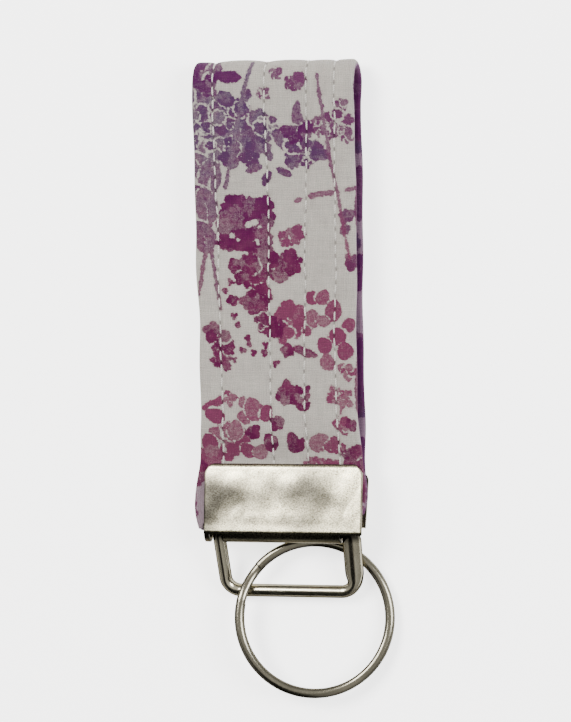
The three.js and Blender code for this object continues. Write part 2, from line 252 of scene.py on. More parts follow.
class Shader:
    """A material under construction, with short ways to add and link nodes."""

    def __init__(self, name):
        self.material = bpy.data.materials.new(name)
        self.material.use_nodes = True
        self.tree = self.material.node_tree
        self.tree.nodes.clear()
        self.output = self.tree.nodes.new("ShaderNodeOutputMaterial")
        self.surface = self.tree.nodes.new("ShaderNodeBsdfPrincipled")
        self.tree.links.new(self.surface.outputs[0], self.output.inputs["Surface"])

    def put(self, socket, value):
        if isinstance(value, bpy.types.NodeSocket):
            self.tree.links.new(value, socket)
        elif socket.type == "RGBA" and len(value) == 3:
            socket.default_value = (*value, 1)
        else:
            socket.default_value = value

    def add(self, kind, output=0, settings=None, **inputs):
        node = self.tree.nodes.new("ShaderNode" + kind)
        for key, value in (settings or {}).items():
            setattr(node, key, value)
        for key, value in inputs.items():
            self.put(node.inputs[key.replace("_", " ")], value)
        return node.outputs[output]

    def set(self, **inputs):
        for key, value in inputs.items():
            self.put(self.surface.inputs[key.replace("_", " ")], value)

    def math(self, operation, *values, clamp=False):
        node = self.tree.nodes.new("ShaderNodeMath")
        node.operation = operation
        node.use_clamp = clamp
        for socket, value in zip(node.inputs, values):
            self.put(socket, value)
        return node.outputs[0]

    def attribute(self, name):
        return self.add("Attribute", output=2, settings={"attribute_name": name})

    def vector(self, x, y, z=0.0):
        return self.add("CombineXYZ", X=x, Y=y, Z=z)

    def noise(self, vector, scale, detail=2.0, roughness=0.5):
        return self.add("TexNoise", Vector=vector, Scale=scale, Detail=detail, Roughness=roughness)

    def span(self, value, low, high, to_low=0.0, to_high=1.0, smooth=False):
        kind = "SMOOTHSTEP" if smooth else "LINEAR"
        node = self.tree.nodes.new("ShaderNodeMapRange")
        node.interpolation_type = kind
        for key, number in (("Value", value), ("From Min", low), ("From Max", high),
                            ("To Min", to_low), ("To Max", to_high)):
            self.put(node.inputs[key], number)
        return node.outputs[0]

    def mix(self, factor, a, b, mode="MIX"):
        node = self.tree.nodes.new("ShaderNodeMix")
        node.data_type = "RGBA"
        node.blend_type = mode
        self.put(node.inputs[0], factor)
        self.put(node.inputs[6], a)
        self.put(node.inputs[7], b)
        return node.outputs[2]

    def bump(self, height, distance, strength=1.0):
        node = self.tree.nodes.new("ShaderNodeBump")
        node.inputs["Distance"].default_value = distance
        node.inputs["Strength"].default_value = strength
        self.tree.links.new(height, node.inputs["Height"])
        self.tree.links.new(node.outputs[0], self.surface.inputs["Normal"])

    def position(self):
        return self.add("TexCoord", output=3)


# ---------------------------------------------------------------- materials

WEAVE_PITCH = 0.34
LIT_SIDE = (0.20, 0.28, 0.92)
GROUND = (0.250, 0.237, 0.213)
GROUND_SHADE = (0.228, 0.210, 0.192)
# Lavender lining ground, darker than the outer ground as painted shade between the strap's layers.
LINING_AND_SHADE = (0.115, 0.070, 0.105)
PLUM = ((0.037, 0.001, 0.034), (0.047, 0.0, 0.023))
ROSE = ((0.057, 0.013, 0.044), (0.082, 0.015, 0.040))
HAZE = ((0.036, 0.013, 0.044), (0.052, 0.008, 0.033))


def weave(shader, across, along, pitch):
    """Height of a plain weave, and a variation from one yarn to the next."""
    turn = math.pi / pitch
    waver = shader.math("MULTIPLY", shader.math("SUBTRACT", shader.noise(shader.vector(across, along), 0.8), 0.5), 0.5)
    warp = shader.math("SINE", shader.math("MULTIPLY", shader.math("ADD", across, waver), turn))
    weft = shader.math("SINE", shader.math("MULTIPLY", shader.math("ADD", along, waver), turn))
    choose = shader.span(shader.math("MULTIPLY", warp, weft), -0.25, 0.25)
    height = shader.math("ADD", shader.math("MULTIPLY", shader.math("ABSOLUTE", warp), choose),
                         shader.math("MULTIPLY", shader.math("ABSOLUTE", weft), shader.math("SUBTRACT", 1.0, choose)))
    slow, fast = 0.22, 3.2
    slub_x = shader.noise(shader.vector(shader.math("MULTIPLY", across, fast), shader.math("MULTIPLY", along, slow)), 1.0)
    slub_y = shader.noise(shader.vector(shader.math("MULTIPLY", across, slow), shader.math("MULTIPLY", along, fast)), 1.0)
    slub = shader.math("MULTIPLY", shader.math("ADD", slub_x, slub_y), 0.5)
    return height, slub


def printed_cotton():
    shader = Shader("printed_cotton")
    across = shader.attribute("across")
    along = shader.attribute("along")
    height, slub = weave(shader, across, along, WEAVE_PITCH)
    plane = shader.vector(across, along)
    drift = shader.span(along, 66, 38)
    blotch = shader.noise(plane, 0.4, 3.0)
    speck = shader.noise(plane, 4.6, 2.0, 0.7)
    fray = shader.math("ADD", shader.math("MULTIPLY", shader.math("SUBTRACT", shader.noise(plane, 2.1, 3.0, 0.6), 0.5), 0.75),
                       shader.math("MULTIPLY", shader.math("SUBTRACT", shader.noise(plane, 0.55, 2.0, 0.5), 0.5), 0.75))
    weave_fray = shader.math("MULTIPLY", shader.math("SUBTRACT", height, 0.5), 0.14)
    jitter = shader.math("ADD", fray, weave_fray)

    colour = shader.mix(shader.span(blotch, 0.35, 0.7), GROUND, GROUND_SHADE)
    # The lining's own lavender, darkened as painted shade between the layers and over the cloth inside the clamp's
    # jaws.
    colour = shader.mix(shader.attribute("lining_and_shade"), colour, LINING_AND_SHADE)
    mottle = shader.noise(plane, 1.5, 3.0, 0.6)
    wash = shader.math("ADD", shader.math("MULTIPLY", shader.attribute("tone"), 0.45),
                       shader.math("ADD", shader.math("MULTIPLY", mottle, 0.9), shader.math("MULTIPLY", speck, 0.9)))
    thin = shader.span(wash, 1.06, 1.56, 1.0, 0.66)
    for name, (top, foot) in (("ink_haze", HAZE), ("ink_rose", ROSE), ("ink_plum", PLUM)):
        field = shader.attribute(name)
        edge = shader.math("ADD", field, jitter)
        halo = shader.math("MULTIPLY", shader.span(edge, -0.75, 0.0, smooth=True), 0.10)
        colour = shader.mix(halo, colour, ROSE[1])
        mask = shader.math("MULTIPLY", shader.span(edge, -0.13, 0.04, smooth=True), thin)
        tone = shader.mix(drift, top, foot)
        lighter = shader.mix(drift, ROSE[0], ROSE[1])
        tone = shader.mix(shader.span(blotch, 0.42, 0.70, 0.0, 0.6), tone, lighter)
        colour = shader.mix(mask, colour, tone)
    grain = shader.span(speck, 0.30, 0.70, 0.80, 1.18)
    shade = shader.math("MULTIPLY", shader.span(height, 0.0, 0.9, 0.74, 1.10), grain)
    yarn = shader.span(slub, 0.3, 0.7, 0.84, 1.14)
    colour = shader.mix(1.0, colour, shader.vector(shade, shade, shade), "MULTIPLY")
    colour = shader.mix(1.0, colour, shader.vector(yarn, yarn, yarn), "MULTIPLY")
    # Painted shade in and round the needle holes, where the thread dips into the cloth.
    hole = shader.span(shader.attribute("hole"), 0.06, 0.30, 0.46, 1.0, smooth=True)
    colour = shader.mix(1.0, colour, shader.vector(hole, hole, hole), "MULTIPLY")
    relief = shader.math("ADD", height, shader.math("MULTIPLY", slub, 1.1))
    shader.set(Base_Color=colour, Roughness=shader.span(slub, 0.3, 0.7, 0.82, 0.95), Sheen_Weight=0.04,
               Sheen_Roughness=0.5, Specular_IOR_Level=0.10)
    shader.bump(relief, 0.00006)
    return shader.material


def fleece():
    shader = Shader("fleece")
    place_ = shader.position()
    fibre = shader.noise(place_, 2600, 4.0, 0.7)
    colour = shader.mix(fibre, (0.62, 0.58, 0.54), (0.86, 0.84, 0.80))
    shader.set(Base_Color=colour, Roughness=0.95, Sheen_Weight=0.4, Sheen_Roughness=0.5)
    shader.bump(fibre, 0.0002)
    return shader.material


def sewing_thread():
    shader = Shader("sewing_thread")
    along = shader.attribute("thread_along")
    around = shader.attribute("thread_around")
    twist = shader.math("SINE", shader.math("ADD", shader.math("MULTIPLY", along, 2 * math.pi / 0.42),
                                            shader.math("MULTIPLY", around, 2.0)))
    fibre = shader.noise(shader.vector(shader.math("MULTIPLY", along, 3.0), around), 2.5, 3.0)
    ply_and_groove_shade = shader.span(twist, -0.9, 0.4, 0.0, 1.0)
    # The darker colour in the twist's grooves is painted shade between the plies.
    colour = shader.mix(ply_and_groove_shade, (0.20, 0.19, 0.18), (0.47, 0.45, 0.41))
    colour = shader.mix(shader.span(fibre, 0.35, 0.7, 0.0, 0.3), colour, (0.33, 0.31, 0.30))
    shader.set(Base_Color=colour, Roughness=0.62, Sheen_Weight=0.3, Sheen_Roughness=0.4)
    shader.bump(shader.math("ADD", ply_and_groove_shade, shader.math("MULTIPLY", fibre, 0.4)), 0.00006)
    return shader.material


def satin_nickel():
    """Plated steel with a fine orange-peel grain, painted dark reflections in its dents, and a painted dark reflection
    band round its fold.
    """
    shader = Shader("satin_nickel")
    spot = shader.position()
    cloud = shader.noise(shader.add("Mapping", Vector=spot, Scale=(0.55, 1.0, 1.0)), 170, 2.0, 0.5)
    grain = shader.noise(spot, 3600, 3.0, 0.6)
    streak = shader.noise(shader.add("Mapping", Vector=spot, Scale=(0.4, 1.0, 1.0)), 7500, 2.0, 0.6)
    texture = shader.math("MULTIPLY", shader.math("ADD", grain, streak), 0.5)
    # Painted dark reflections in the dents, with some random mottling.
    press = shader.math("MULTIPLY", shader.attribute("dent_reflection"), shader.span(cloud, 0.3, 0.65, 0.75, 1.15))
    painted_reflection = shader.math("ADD", press, shader.span(cloud, 0.40, 0.68, 0.0, 0.26), clamp=True)
    colour = shader.mix(painted_reflection, (0.84, 0.775, 0.54), (0.62, 0.58, 0.465))
    dark_reflection = shader.math("POWER", 0.055, painted_reflection)
    fleck = shader.span(texture, 0.42, 0.58, 0.42, 1.24)
    # Painted shade along the plate's ends and mouth edge.
    edge = shader.span(shader.attribute("rim"), 0.05, 0.42, 0.16, 1.0, smooth=True)
    # Painted dark reflection round the fold, and painted shade on the back jaw near the clamp's ends.
    fold = shader.span(shader.attribute("reflection_and_shade_band"), 0.0, 1.0, 1.0, 0.05)
    for shade in (fleck, edge, fold, dark_reflection):
        colour = shader.mix(1.0, colour, shader.vector(shade, shade, shade), "MULTIPLY")
    rough = shader.math("ADD", shader.span(texture, 0.35, 0.65, 0.24, 0.36), shader.math("MULTIPLY", painted_reflection, 0.06))
    shader.set(Base_Color=colour, Metallic=1.0, Roughness=rough, Specular_Tint=(0.62, 0.59, 0.53))
    shader.bump(texture, 0.000024)
    return shader.material


def polished_nickel():
    """Drawn wire with painted shade down its sides, fine drawing lines and a few duller patches."""
    shader = Shader("polished_nickel")
    spot = shader.position()
    cloud = shader.noise(spot, 230, 3.0)
    fine = shader.noise(spot, 4200, 3.0, 0.6)
    colour = shader.mix(shader.span(cloud, 0.42, 0.70, 0.0, 0.6), (0.46, 0.43, 0.33), (0.25, 0.23, 0.175))
    axes = shader.tree.nodes.new("ShaderNodeSeparateXYZ")
    shader.tree.links.new(shader.add("TexCoord", output=1), axes.inputs[0])
    either_face = shader.math("MULTIPLY", shader.math("ABSOLUTE", axes.outputs["Z"]), LIT_SIDE[2])
    lit = shader.math("ADD", either_face, shader.math("ADD", shader.math("MULTIPLY", axes.outputs["X"], LIT_SIDE[0]),
                                                      shader.math("MULTIPLY", axes.outputs["Y"], LIT_SIDE[1])))
    # Painted shade: the sides turned away from LIT_SIDE are darker.
    side = shader.span(lit, 0.36, 0.94, 0.11, 1.0)
    # Painted shade on the wire hidden in the clamp's fold; the ring is duller all over.
    dullness_and_shade = shader.span(shader.attribute("dullness_and_shade"), 0.0, 1.0, 1.0, WIRE_FOLD_SHADE)
    fleck = shader.span(fine, 0.35, 0.65, 0.86, 1.06)
    for shade in (fleck, side, dullness_and_shade):
        colour = shader.mix(1.0, colour, shader.vector(shade, shade, shade), "MULTIPLY")
    rough = shader.math("ADD", shader.span(fine, 0.35, 0.65, 0.12, 0.20), shader.span(cloud, 0.4, 0.75, 0.0, 0.08))
    shader.set(Base_Color=colour, Metallic=1.0, Roughness=rough, Specular_Tint=(0.30, 0.28, 0.23))
    shader.bump(fine, 0.000005)
    return shader.material


COTTON = printed_cotton()
FLEECE = fleece()
THREAD = sewing_thread()
SATIN = satin_nickel()
POLISHED = polished_nickel()


def finish_piece(piece, material, body, slot, *nodes):
    piece.data.materials.clear()
    piece.data.materials.append(material)
    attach(piece, body)
    if nodes:
        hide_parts(*nodes)
    return piece


# ---------------------------------------------------------------- the clamp's frame and the strap's path

ALONG = np.array([math.cos(CLAMP_SLOPE), -math.sin(CLAMP_SLOPE)])
UP = np.array([math.sin(CLAMP_SLOPE), math.cos(CLAMP_SLOPE)])
FOLD = np.array([-CLAMP_LENGTH * math.cos(CLAMP_SLOPE), fold_axis[2]])


def in_clamp(s, n):
    """(s, n) in the clamp's frame as (Y, Z)."""
    return FOLD + np.multiply.outer(np.asarray(s, float), ALONG) + np.multiply.outer(np.asarray(n, float), UP)


def jaw_height(radius, s):
    return radius / math.cos(JAW_SPREAD) + s * math.tan(JAW_SPREAD)


def bezier(a, b, c, d, steps=60):
    t = np.linspace(0, 1, steps)[:, None]
    return (1 - t) ** 3 * a + 3 * (1 - t) ** 2 * t * b + 3 * (1 - t) * t * t * c + t ** 3 * d


class Band:
    """The strap's centre line, from its back end in the clamp round the loop to its front end in the clamp."""

    def __init__(self):
        middle = PINCHED_HALF + LAYER_HALF_GAP
        back_end = in_clamp(END_DEPTH, -middle)
        back_mouth = in_clamp(CLAMP_LENGTH, -middle)
        front_mouth = in_clamp(CLAMP_LENGTH, middle)
        front_end = in_clamp(END_DEPTH, middle)
        low, high = BAND_HALF, STRAP_HEIGHT - BAND_HALF
        half = (high - low) / 2
        start = STRAP_LENGTH - BAND_HALF - FOLD_REACH
        end = STRAP_LENGTH - BAND_HALF
        rounding = 0.56
        point = lambda y, z: np.array([y, z])
        parts = [
            np.linspace(back_end, back_mouth, 20),
            bezier(back_mouth, back_mouth + 4 * ALONG, point(RAMP_LENGTH - 5, low), point(RAMP_LENGTH, low)),
            np.linspace(point(RAMP_LENGTH, low), point(start, low), 120),
            bezier(point(start, low), point(start + FOLD_REACH * rounding, low),
                   point(end, low + half * (1 - rounding)), point(end, low + half)),
            bezier(point(end, low + half), point(end, high - half * (1 - rounding)),
                   point(start + FOLD_REACH * rounding, high), point(start, high)),
            np.linspace(point(start, high), point(RAMP_LENGTH, high), 120),
            bezier(point(RAMP_LENGTH, high), point(RAMP_LENGTH - 5, high), front_mouth + 3 * ALONG, front_mouth),
            np.linspace(front_mouth, front_end, 20),
        ]
        line = np.concatenate([part if i == 0 else part[1:] for i, part in enumerate(parts)])
        step = np.linalg.norm(np.diff(line, axis=0), axis=1)
        self.distance = np.concatenate([[0], np.cumsum(step)])
        self.line = line
        self.length = self.distance[-1]
        tangent = np.gradient(line, self.distance, axis=0)
        tangent /= np.linalg.norm(tangent, axis=1)[:, None]
        self.normal = np.stack([tangent[:, 1], -tangent[:, 0]], 1)
        lengths = [np.sum(np.linalg.norm(np.diff(part, axis=0), axis=1)) for part in parts]
        stops = np.concatenate([[0], np.cumsum(lengths)])
        self.back_mouth, self.back_flat = stops[1], stops[2]
        self.tip = stops[4]
        self.front_flat, self.front_mouth = stops[6], stops[7]

    def at(self, s):
        line = np.stack([np.interp(s, self.distance, self.line[:, i]) for i in range(2)], -1)
        normal = np.stack([np.interp(s, self.distance, self.normal[:, i]) for i in range(2)], -1)
        return line, normal / np.linalg.norm(normal, axis=-1, keepdims=True)

    def half(self, s):
        """Half thickness: pinched in the clamp, full outside it."""
        open_back = smoothstep(self.back_mouth, self.back_flat, s)
        open_front = 1 - smoothstep(self.front_flat, self.front_mouth, s)
        return PINCHED_HALF + (BAND_HALF - PINCHED_HALF) * np.minimum(open_back, open_front)

    def from_mouth(self, s):
        """Distance along the front face from the clamp's mouth, growing over the fold and down the back."""
        return self.front_mouth - s


band = Band()

# Where each row of stitching runs: distance from the strap's middle at the mouth, half way, and at the fold.
ROW_COURSES = ((-11.3, -11.6, -12.2), (-1.5, -1.6, -2.1), (5.3, 5.6, 6.6), (11.6, 11.7, 12.0))


def row_place(row, s):
    """Where a stitch row is across the strap, at distance s along it."""
    v = np.minimum(band.from_mouth(s), band.length - band.from_mouth(s))
    course = np.interp(band.from_mouth(s), [0, 40, 80, 130, 190], [*ROW_COURSES[row], *ROW_COURSES[row][1::-1]])
    return course + 0.10 * np.sin(s * 0.21 + row * 1.7) + 0.05 * np.sin(s * 0.83 + row) + 0.0 * v


def hole_distance(u, s):
    """Distance to the nearest needle hole, and to the nearest stitch row."""
    nearest = np.full(np.broadcast(u, s).shape, 9.0)
    row_gap = np.full_like(nearest, 9.0)
    for row in range(len(ROW_COURSES)):
        du = u - row_place(row, s)
        phase = row * 0.9
        ds = (s - phase + STITCH_PITCH / 2) % STITCH_PITCH - STITCH_PITCH / 2
        nearest = np.minimum(nearest, np.hypot(du, ds * HOLE_SQUASH))
        row_gap = np.minimum(row_gap, np.abs(du))
    return nearest, row_gap


def quilt(u, s, face, holes=True):
    """Thickness from the centre line to the cloth's surface, on the outer (1) or inner (-1) face."""
    half_width = STRAP_WIDTH / 2
    rows = [row_place(row, s) for row in range(len(ROW_COURSES))]
    left = np.full_like(u, -half_width - EDGE_FULLNESS)
    right = np.full_like(u, half_width + EDGE_FULLNESS)
    for place_ in rows:
        left = np.where(place_ <= u, np.maximum(left, place_), left)
        right = np.where(place_ > u, np.minimum(right, place_), right)
    width = np.maximum(right - left, 0.5)
    part = np.clip((u - left) / width, 0, 1)
    pillow = (4 * part * (1 - part)) ** 0.55
    rise = 0.22 + 0.30 * smoothstep(2, 12, width)
    loose = smoothstep(0.6, 1.0, band.half(s) / BAND_HALF)
    nearest, gap = hole_distance(u, s)
    base = band.half(s) - 0.30 * loose
    height = base + rise * pillow * loose
    pucker = np.cos(2 * math.pi * s / STITCH_PITCH) * np.exp(-gap / 1.1) * 0.05
    crease = ripple(u * 0.6, s, 9.0, 3.4, 11 + face) * np.exp(-gap / 2.4) * 0.07
    swell = ripple(u, s, 14.0, 17.0, 21 + face) * 0.06
    hole = -0.24 * np.exp(-(nearest / 0.30) ** 2) * holes
    return height + (pucker + crease + swell) * loose + hole


def drift(u, s):
    """Unevenness of the whole band: its edges wander, flare towards the fold and bulge round the clamp's ends."""
    front, back = band.from_mouth(s), s - band.back_mouth
    from_clamp = np.minimum(front, back)
    free = smoothstep(2, 12, from_clamp)
    side = u / (STRAP_WIDTH / 2)
    away = np.abs(side)
    left, right = (side < 0) * away ** 2, (side > 0) * away ** 2
    wander = (0.16 * np.sin(s * 0.11 + 0.6) + 0.08 * np.sin(s * 0.37 + np.sign(u) * 1.3)) * (0.4 + 0.6 * away) * free
    flare = -FLARE * smoothstep(27, 43, from_clamp) * left + 0.3 * smoothstep(72, 78, from_clamp) * right
    open_mouth = (1 - smoothstep(0, 11, from_clamp)) * smoothstep(-11.0, -6.0, from_clamp)
    mouth = open_mouth * (0.35 * right - 0.8 * left)
    in_jaws = np.exp(-((from_clamp + 6.0) / 4.4) ** 2)
    bulge = in_jaws * (0.9 * (side > 0) - 0.9 * (side < 0)) * away ** 4
    lift = (0.25 * np.sin(s * 0.09 + u * 0.05) + 0.15 * np.sin(s * 0.23 - u * 0.12)) * smoothstep(
        band.tip - 4, band.tip + 4, s)
    return wander + flare + mouth + bulge, lift * free


def on_band(u, s, height):
    """A point at u across, s along and height above the centre line, in the fob's frame."""
    line, normal = band.at(s)
    sideways, lift = drift(u, s)
    y = line[..., 0] + normal[..., 0] * height
    z = line[..., 1] + normal[..., 1] * height + lift * 0.5
    z = (z + np.sqrt(z * z + TABLE_SOFTNESS ** 2)) / 2
    from_clamp = np.minimum(band.from_mouth(s), s - band.back_mouth)
    y = y - SPILL * smoothstep(0.90, 0.96, -u / (STRAP_WIDTH / 2)) * smoothstep(-2.0, -9.4, from_clamp)
    x = u + sideways + STRAP_OFFSET + STRAP_LEAN * np.maximum(y, 0)
    return np.stack([x, y, z], -1)


# ---------------------------------------------------------------- the print, as distance fields on the cloth


HEAD_SPREAD = 1.13


class Ink:
    """Signed distance, in millimetres, to everything printed in one ink; positive inside."""

    def __init__(self, across, along, random, leaves_apart=False):
        self.leaves_apart = leaves_apart
        self.x, self.y = across.ravel(), along.ravel()
        self.field = np.full(self.x.shape, -2.0)
        self.tone = np.full(self.x.shape, 0.3)
        self.random = random

    def near(self, x, y, reach):
        return np.flatnonzero((np.abs(self.x - x) < reach) & (np.abs(self.y - y) < reach))

    def leaf(self, x, y, length, width, turn, bend=0.0, vein=0.0):
        """A pointed leaf from its foot at (x, y), turned anticlockwise from straight up, curved by bend.
        One with a vein has a pale line along its middle and a pale gap all round it."""
        near = self.near(x, y, length + 2)
        dx, dy = self.x[near] - x, self.y[near] - y
        cos, sin = math.cos(turn), math.sin(turn)
        t = (dy * cos - dx * sin) / length
        side = dx * cos + dy * sin - bend * length * t * (1 - t)
        half = width / 2 * np.sqrt(np.maximum(np.sin(math.pi * np.clip(t, 0, 1) ** 0.85), 0))
        beyond = np.maximum(np.maximum(-t, t - 1), 0) * length
        signed = half - np.abs(side) - beyond
        below = self.field[near]
        if vein or self.leaves_apart:
            below = np.minimum(below, np.abs(signed + 0.16) - 0.28)
        if vein:
            signed = np.minimum(signed, np.abs(side) - vein)
        self.field[near] = np.maximum(below, signed)
        self.tone[near[signed > -0.1]] = self.random.uniform()

    def stem(self, x0, y0, x1, y1, width, bend=0.0):
        dx, dy = x1 - x0, y1 - y0
        length = math.hypot(dx, dy)
        near = self.near((x0 + x1) / 2, (y0 + y1) / 2, length / 2 + 2)
        px, py = self.x[near] - x0, self.y[near] - y0
        t = (px * dx + py * dy) / length ** 2
        side = (px * dy - py * dx) / length - bend * length * t * (1 - t)
        beyond = np.maximum(np.maximum(-t, t - 1), 0) * length
        signed = width * 0.42 + 0.10 - np.abs(side) - beyond
        self.field[near] = np.maximum(self.field[near], signed)
        self.tone[near[signed > -0.1]] = 0.85

    def blossom(self, near, x, y, size, petals, turn, apart):
        """A small flower of round petals; one set apart has a thin gap all round it."""
        px, py = self.x[near] - x, self.y[near] - y
        signed = size * 0.20 - np.hypot(px, py)
        for i in range(petals):
            angle = turn + i * 2 * math.pi / petals
            reach = size * 0.44 * self.random.uniform(0.8, 1.2)
            radius = size * self.random.uniform(0.27, 0.40)
            signed = np.maximum(signed, radius - np.hypot(px - math.cos(angle) * reach, py - math.sin(angle) * reach))
        below = self.field[near]
        if apart:
            below = np.minimum(below, np.abs(signed + 0.17) - 0.25)
        self.field[near] = np.maximum(below, signed)
        self.tone[near[signed > -0.1]] = self.random.uniform()

    def head(self, x, y, rx, ry, size, cover=0.8, lean=0.0, apart=0.16):
        """A flower head: blossoms spread evenly over an ellipse, sparser at its edge."""
        rx, ry = rx * HEAD_SPREAD, ry * HEAD_SPREAD
        near = self.near(x, y, max(rx, ry) + size)
        count = max(3, round(6.0 * rx * ry / size ** 2 * cover))
        start = self.random.uniform(0, 2 * math.pi)
        for i in range(count):
            reach = math.sqrt((i + 0.5) / count) * self.random.uniform(0.85, 1.08)
            angle = start + i * 2.39996
            px, py = rx * reach * math.cos(angle), ry * reach * math.sin(angle)
            px, py = px * math.cos(lean) - py * math.sin(lean), px * math.sin(lean) + py * math.cos(lean)
            if self.random.uniform() > 1.12 - 0.3 * reach:
                continue
            self.blossom(near, x + px, y + py, size * self.random.uniform(0.7, 1.25) * (1.15 - 0.3 * reach),
                         int(self.random.integers(4, 7)), self.random.uniform(0, 2 * math.pi),
                         self.random.uniform() < apart)

    def petals(self, x, y, size, count, turn):
        """A small flower of uneven petals that run together in the middle."""
        near = self.near(x, y, size)
        middle = size * 0.2 - np.hypot(self.x[near] - x, self.y[near] - y)
        self.field[near] = np.maximum(self.field[near], middle)
        for i in range(count):
            angle = turn + i * 2 * math.pi / count + self.random.uniform(-0.15, 0.15)
            reach = size * self.random.uniform(0.38, 0.62)
            self.leaf(x, y, reach, size * self.random.uniform(0.36, 0.54), angle)

    def island(self, x, y, rx, ry):
        """A bare patch inside a solid shape."""
        near = self.near(x, y, max(rx, ry) + 1)
        rim = (np.hypot((self.x[near] - x) / rx, (self.y[near] - y) / ry) - 1) * min(rx, ry)
        self.field[near] = np.minimum(self.field[near], rim)

    def spray(self, x, y, turn, length, size, side_stems=4):
        """A fine stem with side stems, each ending in a small blossom."""
        tip_x, tip_y = x - math.sin(turn) * length, y + math.cos(turn) * length
        self.stem(x, y, tip_x, tip_y, 0.34, 0.05)
        for i in range(side_stems):
            t = 0.45 + 0.55 * (i + 0.5) / side_stems
            lean = turn + (0.8 if i % 2 else -0.8)
            reach = length * 0.38 * (1.2 - t * 0.6)
            fx, fy = x + (tip_x - x) * t, y + (tip_y - y) * t
            bx, by = fx - math.sin(lean) * reach, fy + math.cos(lean) * reach
            self.stem(fx, fy, bx, by, 0.28)
            self.head(bx, by, size, size * 0.8, size * 0.9, 0.7)


